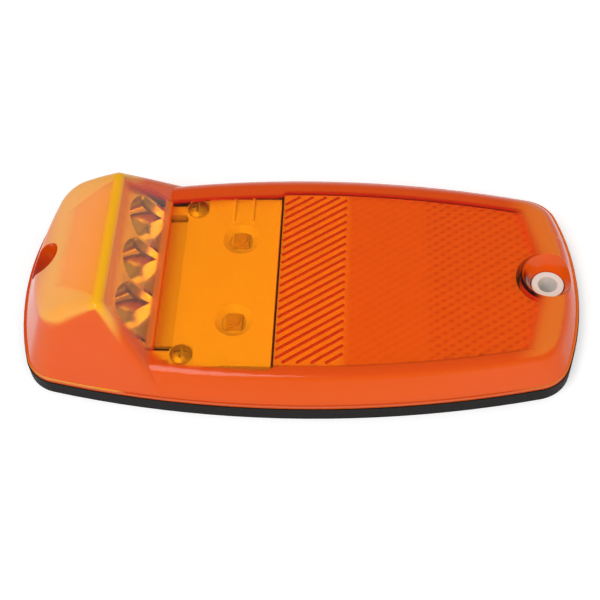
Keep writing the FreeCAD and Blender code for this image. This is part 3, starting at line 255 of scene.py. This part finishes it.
def amber_acrylic(finish):
    """Injection-moulded amber acrylic: polished and clear over the flat and window, grained elsewhere."""
    material, tree, output = new_material("amber_acrylic_lens")
    normal, _ = fine_bump(tree, size_mm=9.0, height_mm=0.02)
    geometry = add_node(tree, "ShaderNodeNewGeometry")
    facing = add_node(tree, "ShaderNodeSeparateXYZ", inputs={"Vector": geometry.outputs["Normal"]})
    place = add_node(tree, "ShaderNodeSeparateXYZ", inputs={"Vector": geometry.outputs["Position"]})
    x, y = place.outputs["X"], place.outputs["Y"]
    sideways, upright, across = [
        add_node(tree, "ShaderNodeMath", {"operation": "ABSOLUTE"}, {0: value}).outputs[0]
        for value in (facing.outputs["Y"], facing.outputs["Z"], y)]
    # Grows towards the nose's tapered sides and end, and stays low over the flat.
    nose_depth = add_node(tree, "ShaderNodeMath", {"operation": "MULTIPLY_ADD"}, {
        0: x, 1: NOSE_TAPER, 2: across}).outputs[0]
    # Grows towards the reflector end and its corners.
    end_depth = add_node(tree, "ShaderNodeMath", {"operation": "MULTIPLY_ADD"}, {
        0: across, 1: END_TAPER, 2: x}).outputs[0]
    grained_share = 0.0
    for value, (clear_at, grained_at), most in (
            (sideways, WALL_TILT, 1.0),
            (plan_depth(tree, x, y), FLAT_EDGE, 1.0),
            (nose_depth, NOSE_EDGE, 1.0),
            (end_depth, FLAT_END, 1.0),
            (x, ROOF_START, ROOF_FROST),
            (x, ROOF_END, 1.0)):
        share = add_node(tree, "ShaderNodeMapRange", SMOOTH, {
            "Value": value, "From Min": clear_at, "From Max": grained_at, "To Min": 0.0, "To Max": most})
        grained_share = add_node(tree, "ShaderNodeMath", {"operation": "MAXIMUM"}, {
            0: share.outputs["Result"], 1: grained_share}).outputs[0]
    tone = finish.wall_colour
    # The window's foot and the ridge gather light, so each shows as a line of its own in the clear lens;
    # that light is painted in as paler tones, which also make those lines grained.
    for colour, is_painted_light_line, limits in (
            (finish.rim_colour, False, ((upright, RIM_TILT),)),
            (finish.end_colour, False, ((end_depth, END_BORDER), (upright, END_TILT))),
            (finish.roof_colour, False, ((x, ROOF_TONE_START), (x, ROOF_TONE_END), (upright, ROOF_TILT))),
            (finish.painted_foot_light, True, ((x, FOOT_START), (x, FOOT_END), (across, FOOT_SIDE))),
            (finish.painted_ridge_light, True, ((x, RIDGE_START), (x, RIDGE_END), (upright, RIDGE_TILT)))):
        amount = 1.0
        for value, (start, full) in limits:
            share = add_node(tree, "ShaderNodeMapRange", SMOOTH, {
                "Value": value, "From Min": start, "From Max": full})
            amount = add_node(tree, "ShaderNodeMath", {"operation": "MULTIPLY"}, {
                0: share.outputs["Result"], 1: amount}).outputs[0]
        tone = add_node(tree, "ShaderNodeMix", {"data_type": "RGBA"}, {
            "Factor": amount, "A": tone, "B": colour}).outputs["Result"]
        if is_painted_light_line:
            grained_share = add_node(tree, "ShaderNodeMath", {"operation": "MAXIMUM"}, {
                0: grained_share, 1: amount}).outputs[0]
    clear = add_node(tree, "ShaderNodeBsdfPrincipled", inputs={
        "Base Color": WHITE, "Transmission Weight": 1.0, "Roughness": 0.02, "IOR": ACRYLIC_IOR,
        "Normal": normal})
    grained = add_node(tree, "ShaderNodeBsdfPrincipled", inputs={
        "Base Color": tone, "Transmission Weight": 0.12, "Roughness": 0.14, "IOR": ACRYLIC_IOR,
        "Specular IOR Level": 0.32, "Normal": normal})
    mix = add_node(tree, "ShaderNodeMixShader", inputs={
        0: grained_share, 1: clear.outputs["BSDF"], 2: grained.outputs["BSDF"]})
    let_light_in(tree, output, mix.outputs["Shader"])
    depth = add_node(tree, "ShaderNodeVolumeAbsorption", inputs={
        "Color": linear("#FFEA00"), "Density": finish.lens_depth})
    tree.links.new(depth.outputs["Volume"], output.inputs["Volume"])
    return material


def prism_lattice(tree, place):
    """Output of the crossed lines that the prisms show through the plate, as far apart as the ribs."""
    lines = []
    for angle in (math.pi / 2 - RIB_SLANT, RIB_SLANT - math.pi / 2):
        turned = add_node(tree, "ShaderNodeMapping", inputs={
            "Vector": place, "Rotation": (0.0, 0.0, angle)})
        wave = add_node(tree, "ShaderNodeTexWave", {"bands_direction": "X", "wave_profile": "SIN"}, {
            "Vector": turned.outputs["Vector"], "Scale": 2 * math.pi / (WAVE_RADIANS * RIB_PITCH),
            "Distortion": 0.6, "Detail": 1.0})
        line = add_node(tree, "ShaderNodeMapRange", SMOOTH, {
            "Value": wave.outputs["Fac"], "From Min": LATTICE_LINE[0], "From Max": LATTICE_LINE[1]})
        lines.append(line.outputs["Result"])
    crossed = add_node(tree, "ShaderNodeMath", {"operation": "MULTIPLY_ADD"}, {
        0: lines[1], 1: CROSS_SHARE, 2: 1.0 - CROSS_SHARE})
    lattice = add_node(tree, "ShaderNodeMath", {"operation": "MULTIPLY"}, {
        0: lines[0], 1: crossed.outputs[0]})
    return lattice.outputs[0]


def reflector_acrylic(finish):
    """Amber acrylic moulded with corner-cube prisms below: cloudy orange, with the prisms' lines darker."""
    material, tree, output = new_material("amber_acrylic_reflector")
    place = add_node(tree, "ShaderNodeTexCoord").outputs["Object"]
    x = add_node(tree, "ShaderNodeSeparateXYZ", inputs={"Vector": place}).outputs["X"]
    first_field = add_node(tree, "ShaderNodeMapRange", SMOOTH, {
        "Value": x, "From Min": FIRST_FIELD_FADE[0], "From Max": FIRST_FIELD_FADE[1]}).outputs["Result"]
    strength = add_node(tree, "ShaderNodeMapRange", SMOOTH, {
        "Value": x, "From Min": LATER_FIELDS_FADE[0], "From Max": LATER_FIELDS_FADE[1],
        "To Min": LATTICE_STRENGTH[0], "To Max": LATTICE_STRENGTH[1]})
    past_first = add_node(tree, "ShaderNodeMath", {"operation": "SUBTRACT"}, {0: 1.0, 1: first_field})
    later_fields = add_node(tree, "ShaderNodeMath", {"operation": "MULTIPLY"}, {
        0: strength.outputs["Result"], 1: past_first.outputs[0]})
    share = add_node(tree, "ShaderNodeMath", {"operation": "MULTIPLY"}, {
        0: prism_lattice(tree, place), 1: later_fields.outputs[0]}).outputs[0]
    plate = add_node(tree, "ShaderNodeMix", {"data_type": "RGBA"}, {
        "Factor": first_field, "A": finish.reflector_colour, "B": finish.furrow_colour})
    tone = add_node(tree, "ShaderNodeMix", {"data_type": "RGBA"}, {
        "Factor": share, "A": plate.outputs["Result"], "B": finish.rib_colour})
    bump = add_node(tree, "ShaderNodeBump", inputs={
        "Height": share, "Distance": LATTICE_HEIGHT, "Strength": 1.0})
    cloudy = add_node(tree, "ShaderNodeBsdfPrincipled", inputs={
        "Base Color": tone.outputs["Result"], "Transmission Weight": 0.2, "Roughness": 0.12,
        "IOR": ACRYLIC_IOR, "Normal": bump.outputs["Normal"]})
    let_light_in(tree, output, cloudy.outputs["BSDF"])
    depth = add_node(tree, "ShaderNodeVolumeAbsorption", inputs={
        "Color": linear("#FEE700"), "Density": finish.reflector_depth})
    tree.links.new(depth.outputs["Volume"], output.inputs["Volume"])
    return material


def rib_acrylic(finish):
    """Amber acrylic where the ribs make it thicker: glossy, and a deeper red than the plate."""
    material, tree, output = new_material("amber_acrylic_ribs")
    normal, _ = fine_bump(tree, size_mm=1.5, height_mm=0.01)
    deep = add_node(tree, "ShaderNodeBsdfPrincipled", inputs={
        "Base Color": finish.rib_colour, "Transmission Weight": 0.2, "Roughness": 0.12, "IOR": ACRYLIC_IOR,
        "Normal": normal})
    let_light_in(tree, output, deep.outputs["BSDF"])
    return material


def fine_surface(name, roughness, gloss_spread, grain_mm, grain_height_mm, values):
    """A material with a shader's values, whose fine grain shades it and varies its gloss a little."""
    material, tree, output = new_material(name)
    normal, grain = fine_bump(tree, grain_mm, grain_height_mm)
    gloss = add_node(tree, "ShaderNodeMapRange", SMOOTH, {
        "Value": grain, "From Min": GRAIN_LIMITS[0], "From Max": GRAIN_LIMITS[1],
        "To Min": roughness * (1 - gloss_spread), "To Max": roughness * (1 + gloss_spread)})
    shader = add_node(tree, "ShaderNodeBsdfPrincipled", inputs={
        **values, "Roughness": gloss.outputs["Result"], "Normal": normal})
    tree.links.new(shader.outputs["BSDF"], output.inputs["Surface"])
    return material


def moulded_plastic(name, colour, roughness, grain_mm, grain_height_mm, specular=0.5):
    """A moulded plastic, with the fine grain of its tool."""
    return fine_surface(name, roughness, PLASTIC_GLOSS_SPREAD, grain_mm, grain_height_mm, {
        "Base Color": colour, "IOR": PLASTIC_IOR, "Specular IOR Level": specular})


def metal(name, colour, roughness, grain_mm, grain_height_mm):
    """A metal surface, with the fine unevenness of its plating."""
    return fine_surface(name, roughness, METAL_GLOSS_SPREAD, grain_mm, grain_height_mm, {
        "Base Color": colour, "Metallic": 1.0})


def smooth_copy(node, material):
    """A piece with a node's own shape, joined into one skin and shaded smooth between its edges."""
    mesh = NODES[node].data.copy()
    mesh.name = node + "_skin"
    shape = bmesh.new()
    shape.from_mesh(mesh)
    bmesh.ops.remove_doubles(shape, verts=shape.verts, dist=MERGE_DISTANCE)
    for face in shape.faces:
        face.smooth = True
        face.material_index = 0
    for edge in shape.edges:
        edge.smooth = len(edge.link_faces) == 2 and edge.calc_face_angle(0.0) < SHARP_ANGLE
    shape.to_mesh(mesh)
    shape.free()
    if mesh.has_custom_normals:
        mesh.normals_split_custom_set([(0.0, 0.0, 0.0)] * len(mesh.loops))
    mesh.materials.clear()
    mesh.materials.append(material)
    piece = bpy.data.objects.new(node + "_dressed", mesh)
    bpy.context.scene.collection.objects.link(piece)
    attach(piece, "root")
    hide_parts(node)
    return piece


def slanted_ribs(material):
    """Low ridges that slant across the reflector's first field, each sunk a little into the plate."""
    plate = NODES["reflex_reflector"]
    corners = [plate.matrix_world @ Vector(corner) for corner in plate.bound_box]
    plate_start, plate_top = min(c.x for c in corners), max(c.z for c in corners)
    along = Vector((math.cos(RIB_SLANT), math.sin(RIB_SLANT)))
    aside = Vector((-along.y, along.x))
    spans = ((plate_start + RIB_MARGIN, FIRST_FIELD_END), (-RIB_HALF_SPAN, RIB_HALF_SPAN))
    foot, crest = plate_top - RIB_SINK, plate_top + RIB_HEIGHT
    section = ((-RIB_WIDTH / 2, foot), (0.0, crest), (RIB_WIDTH / 2, foot))
    shape = bmesh.new()
    most = math.ceil(2 * RIB_HALF_SPAN / RIB_PITCH)
    for count in range(-most, most + 1):
        middle = aside * count * RIB_PITCH
        limits = [sorted((edge - middle[axis]) / along[axis] for edge in spans[axis]) for axis in (0, 1)]
        start, end = max(low for low, high in limits), min(high for low, high in limits)
        if end - start < RIB_PITCH:
            continue
        first, last = [
            [shape.verts.new((*(middle + along * reach + aside * offset), level))
             for offset, level in section]
            for reach in (start, end)]
        shape.faces.new(first)
        shape.faces.new(last)
        for side in range(len(section)):
            following = (side + 1) % len(section)
            shape.faces.new((first[side], first[following], last[following], last[side]))
    bmesh.ops.recalc_face_normals(shape, faces=shape.faces)
    mesh = bpy.data.meshes.new("reflector_ribs")
    shape.to_mesh(mesh)
    shape.free()
    mesh.materials.append(material)
    piece = bpy.data.objects.new("reflector_ribs", mesh)
    bpy.context.scene.collection.objects.link(piece)
    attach(piece, "root")
    return piece


class LAMP_OT_lens(Operator):
    """Dress the lens in amber acrylic"""

    bl_idname = "lamp.lens"
    bl_label = "Lens"

    def execute(self, context):
        smooth_copy("lens", amber_acrylic(context.scene.lamp_finish))
        return {"FINISHED"}


class LAMP_OT_reflector(Operator):
    """Dress the reflex reflector under the lens flat"""

    bl_idname = "lamp.reflector"
    bl_label = "Reflex reflector"

    def execute(self, context):
        smooth_copy("reflex_reflector", reflector_acrylic(context.scene.lamp_finish))
        slanted_ribs(rib_acrylic(context.scene.lamp_finish))
        return {"FINISHED"}


class LAMP_OT_carrier(Operator):
    """Dress the white carrier and its screws"""

    bl_idname = "lamp.carrier"
    bl_label = "Carrier"

    def execute(self, context):
        finish = context.scene.lamp_finish
        # Moulded white polycarbonate: a soft even gloss from a fine spark-eroded tool.
        white = moulded_plastic(
            "white_polycarbonate", finish.white_colour, roughness=0.42, grain_mm=0.5, grain_height_mm=0.004)
        smooth_copy("lamp_carrier", white)
        # Zinc-plated steel: cold-headed and tumbled, so it is grey and a little uneven.
        zinc = metal(
            "zinc_plated_steel", linear("#DCD8D2"), roughness=0.5, grain_mm=0.8, grain_height_mm=0.006)
        smooth_copy("carrier_screws", zinc)
        return {"FINISHED"}


class LAMP_OT_cups(Operator):
    """Dress the cup reflector behind the nose window"""

    bl_idname = "lamp.cups"
    bl_label = "Cup reflector"

    def execute(self, context):
        # Vacuum-metallised plastic: aluminium film over a lacquered moulding, bright with slight ripple.
        film = metal(
            "metallised_plastic", linear("#E6E6E8"), roughness=0.14, grain_mm=2.5, grain_height_mm=0.02)
        smooth_copy("cup_reflector", film)
        return {"FINISHED"}


class LAMP_OT_electrics(Operator):
    """Dress the boards, LEDs and components"""

    bl_idname = "lamp.electrics"
    bl_label = "Electrics"

    def execute(self, context):
        # Glass-fibre laminate under white solder mask: the weave telegraphs through faintly.
        board = moulded_plastic(
            "solder_mask_board", linear("#E9E8E2"), roughness=0.4, grain_mm=0.6, grain_height_mm=0.006)
        # Moulded LED resin: pale package with a yellow phosphor under its dome.
        resin = moulded_plastic(
            "led_resin", linear("#D2C08C"), roughness=0.25, grain_mm=0.4, grain_height_mm=0.003)
        # Transfer-moulded epoxy: matt black with a sandy grain.
        epoxy = moulded_plastic(
            "moulded_epoxy", linear("#252426"), roughness=0.6, grain_mm=0.2, grain_height_mm=0.01)
        # Tinned brass: drawn square wire with a dull bright coat.
        pins = metal(
            "tinned_brass", linear("#C9C6BC"), roughness=0.3, grain_mm=0.3, grain_height_mm=0.003)
        for node in ("deck_board", "nose_board"):
            smooth_copy(node, board)
        for node in NODES:
            if "_led_" in node:
                smooth_copy(node, resin)
        for node in ("series_resistors", "supply_diode", "led_driver"):
            smooth_copy(node, epoxy)
        smooth_copy("link_pins", pins)
        return {"FINISHED"}


class LAMP_OT_base(Operator):
    """Dress the base tray, its bead, the gasket and the grommet"""

    bl_idname = "lamp.base"
    bl_label = "Base and gasket"

    def execute(self, context):
        finish = context.scene.lamp_finish
        # Compression-moulded EPDM: matt black with a fine talc-softened grain.
        rubber = moulded_plastic(
            "epdm_rubber", finish.rubber_colour, roughness=0.62, grain_mm=0.35, grain_height_mm=0.02,
            specular=0.15)
        # Injection-moulded ABS: black with a satin tool finish.
        shell = moulded_plastic(
            "black_abs", finish.base_colour, roughness=0.45, grain_mm=0.5, grain_height_mm=0.006)
        smooth_copy("base_tray", shell)
        # Cured polyurethane: a dark rubbery bead, smooth where it wetted the plastic.
        bead = moulded_plastic(
            "polyurethane_bead", linear("#2B2827"), roughness=0.5, grain_mm=1.5, grain_height_mm=0.03)
        smooth_copy("lens_seal", bead)
        for node in ("mounting_gasket", "cable_grommet"):
            smooth_copy(node, rubber)
        return {"FINISHED"}


class LAMP_OT_bushes(Operator):
    """Dress the mounting bushes"""

    bl_idname = "lamp.bushes"
    bl_label = "Mounting bushes"

    def execute(self, context):
        # Zinc plate with a white film on turned steel: pale, nearly white, and without a metal's shine.
        finish = context.scene.lamp_finish
        plate = moulded_plastic(
            "white_zinc_plate", finish.bush_colour, roughness=0.35, grain_mm=0.6, grain_height_mm=0.004)
        for node in ("mounting_bush_left", "mounting_bush_right"):
            smooth_copy(node, plate)
        return {"FINISHED"}


def camera_axes(studio):
    """The camera's right, up and back directions, with its roll."""
    back = Vector((
        math.sin(studio.azimuth) * math.cos(studio.elevation),
        -math.cos(studio.azimuth) * math.cos(studio.elevation), math.sin(studio.elevation)))
    right = (-back).cross(Vector((0, 0, 1))).normalized()
    up = right.cross(-back)
    turn, lift = math.cos(studio.roll), math.sin(studio.roll)
    return right * turn + up * lift, up * turn - right * lift, back


def see_white(tree):
    """Output that is 1 where the camera, a reflection or a clear moulding sees the white studio."""
    path = add_node(tree, "ShaderNodeLightPath")
    seen = add_node(tree, "ShaderNodeMath", {"operation": "MAXIMUM"}, {
        0: path.outputs["Is Camera Ray"], 1: path.outputs["Is Glossy Ray"]})
    seen = add_node(tree, "ShaderNodeMath", {"operation": "MAXIMUM"}, {
        0: seen.outputs["Value"], 1: path.outputs["Is Transmission Ray"]})
    return seen.outputs["Value"]


def white_studio_world(studio):
    """White surroundings with a dimmer ceiling, so the flat lens doesn't mirror a white one."""
    world = bpy.data.worlds.new("white_studio")
    world.use_nodes = True
    tree = world.node_tree
    tree.nodes.clear()
    view = add_node(tree, "ShaderNodeTexCoord")
    height = add_node(tree, "ShaderNodeSeparateXYZ", inputs={
        "Vector": view.outputs["Generated"]}).outputs["Z"]
    seen = add_node(tree, "ShaderNodeMapRange", SMOOTH, {
        "Value": height, "From Min": CEILING_HEIGHTS[0], "From Max": CEILING_HEIGHTS[1],
        "To Min": 1.0, "To Max": studio.ceiling_strength}).outputs["Result"]
    strength = add_node(tree, "ShaderNodeMix", {"data_type": "FLOAT"}, {
        0: see_white(tree), 2: studio.dome_strength, 3: seen}).outputs[0]
    # Rays that come out of the clear lens meet an even studio, which brightens the cups and the deck.
    path = add_node(tree, "ShaderNodeLightPath")
    strength = add_node(tree, "ShaderNodeMix", {"data_type": "FLOAT"}, {
        0: path.outputs["Is Transmission Ray"], 2: strength, 3: studio.inside_strength}).outputs[0]
    shader = add_node(tree, "ShaderNodeBackground", inputs={"Color": WHITE, "Strength": strength})
    output = add_node(tree, "ShaderNodeOutputWorld")
    tree.links.new(shader.outputs["Background"], output.inputs["Surface"])
    return world


def white_paper():
    """Seamless white paper: matt, and bright enough to meet the white surroundings without a line."""
    material, tree, output = new_material("seamless_paper")
    normal, _ = fine_bump(tree, size_mm=0.6, height_mm=0.01)
    glow = add_node(tree, "ShaderNodeMath", {"operation": "MULTIPLY"}, {0: see_white(tree), 1: PAPER_GLOW})
    paper = add_node(tree, "ShaderNodeBsdfPrincipled", inputs={
        "Base Color": linear("#E9E9E9"), "Roughness": 0.9, "Specular IOR Level": 0.1, "Normal": normal,
        "Emission Color": WHITE, "Emission Strength": glow.outputs[0]})
    # From below the paper is clear, so the lamp's underside can be looked at.
    side = add_node(tree, "ShaderNodeNewGeometry")
    clear = add_node(tree, "ShaderNodeBsdfTransparent")
    sheet = add_node(tree, "ShaderNodeMixShader", inputs={
        0: side.outputs["Backfacing"], 1: paper.outputs["BSDF"], 2: clear.outputs["BSDF"]})
    tree.links.new(sheet.outputs["Shader"], output.inputs["Surface"])
    return material


def softbox(name, place, power):
    """A square area lamp that faces the lamp's middle."""
    light = bpy.data.lights.new(name, "AREA")
    light.shape = "SQUARE"
    light.size = SOFTBOX_SIZE
    light.energy = power
    lamp = bpy.data.objects.new(name, light)
    lamp.location = place
    lamp.rotation_euler = (-Vector(place)).to_track_quat("-Z", "Y").to_euler()
    bpy.context.scene.collection.objects.link(lamp)
    return lamp


class LAMP_OT_stage(Operator):
    """Set up the white floor, the soft light and the camera"""

    bl_idname = "lamp.stage"
    bl_label = "Studio"

    def execute(self, context):
        studio = context.scene.lamp_studio
        scene = context.scene
        scene.view_settings.view_transform = "Standard"
        scene.world = white_studio_world(studio)
        sheet = bpy.data.meshes.new("floor")
        # The floor lies a hair below the gasket, so the two faces never share one plane.
        corners = [(side * FLOOR_REACH, end * FLOOR_REACH, FLOOR_LEVEL)
                   for side, end in ((-1, -1), (1, -1), (1, 1), (-1, 1))]
        sheet.from_pydata(corners, [], [(0, 1, 2, 3)])
        sheet.materials.append(white_paper())
        floor = bpy.data.objects.new("floor", sheet)
        scene.collection.objects.link(floor)
        softbox("key_softbox", KEY_PLACE, studio.key_power)
        fill = softbox("fill_softbox", FILL_PLACE, studio.fill_power)
        # The fill lifts the walls without showing as a bright patch on them.
        fill.visible_glossy = False
        lens = bpy.data.cameras.new("camera")
        lens.sensor_width = SENSOR_WIDTH_MM
        lens.lens = studio.focal_length
        lens.clip_start = NEAR_CLIP
        camera = bpy.data.objects.new("camera", lens)
        right, up, back = camera_axes(studio)
        place = Vector(studio.target) + back * studio.distance
        camera.matrix_world = Matrix((
            (right.x, up.x, back.x, place.x),
            (right.y, up.y, back.y, place.y),
            (right.z, up.z, back.z, place.z),
            (0, 0, 0, 1)))
        scene.collection.objects.link(camera)
        scene.camera = camera
        return {"FINISHED"}


class LAMP_PT_sidebar(Panel):
    bl_label = "Indicator Lamp"
    bl_idname = "LAMP_PT_sidebar"
    bl_space_type = "VIEW_3D"
    bl_region_type = "UI"
    bl_category = "Indicator Lamp"

    def draw(self, context):
        layout = self.layout
        for settings in (context.scene.lamp_finish, context.scene.lamp_studio):
            box = layout.box()
            for name in settings.__annotations__:
                box.prop(settings, name)
        for operator in OPERATORS:
            layout.operator(operator.bl_idname)


OPERATORS = (
    LAMP_OT_lens, LAMP_OT_reflector, LAMP_OT_carrier, LAMP_OT_cups, LAMP_OT_electrics, LAMP_OT_base,
    LAMP_OT_bushes, LAMP_OT_stage)
CLASSES = (LampFinish, LampStudio) + OPERATORS + (LAMP_PT_sidebar,)


def register():
    for item in CLASSES:
        bpy.utils.register_class(item)
    bpy.types.Scene.lamp_finish = PointerProperty(type=LampFinish)
    bpy.types.Scene.lamp_studio = PointerProperty(type=LampStudio)


def unregister():
    del bpy.types.Scene.lamp_studio
    del bpy.types.Scene.lamp_finish
    for item in reversed(CLASSES):
        bpy.utils.unregister_class(item)


def main():
    register()
    bpy.ops.lamp.lens()
    bpy.ops.lamp.reflector()
    bpy.ops.lamp.carrier()
    bpy.ops.lamp.cups()
    bpy.ops.lamp.electrics()
    bpy.ops.lamp.base()
    bpy.ops.lamp.bushes()
    bpy.ops.lamp.stage()


if __name__ == "__main__":
    main()
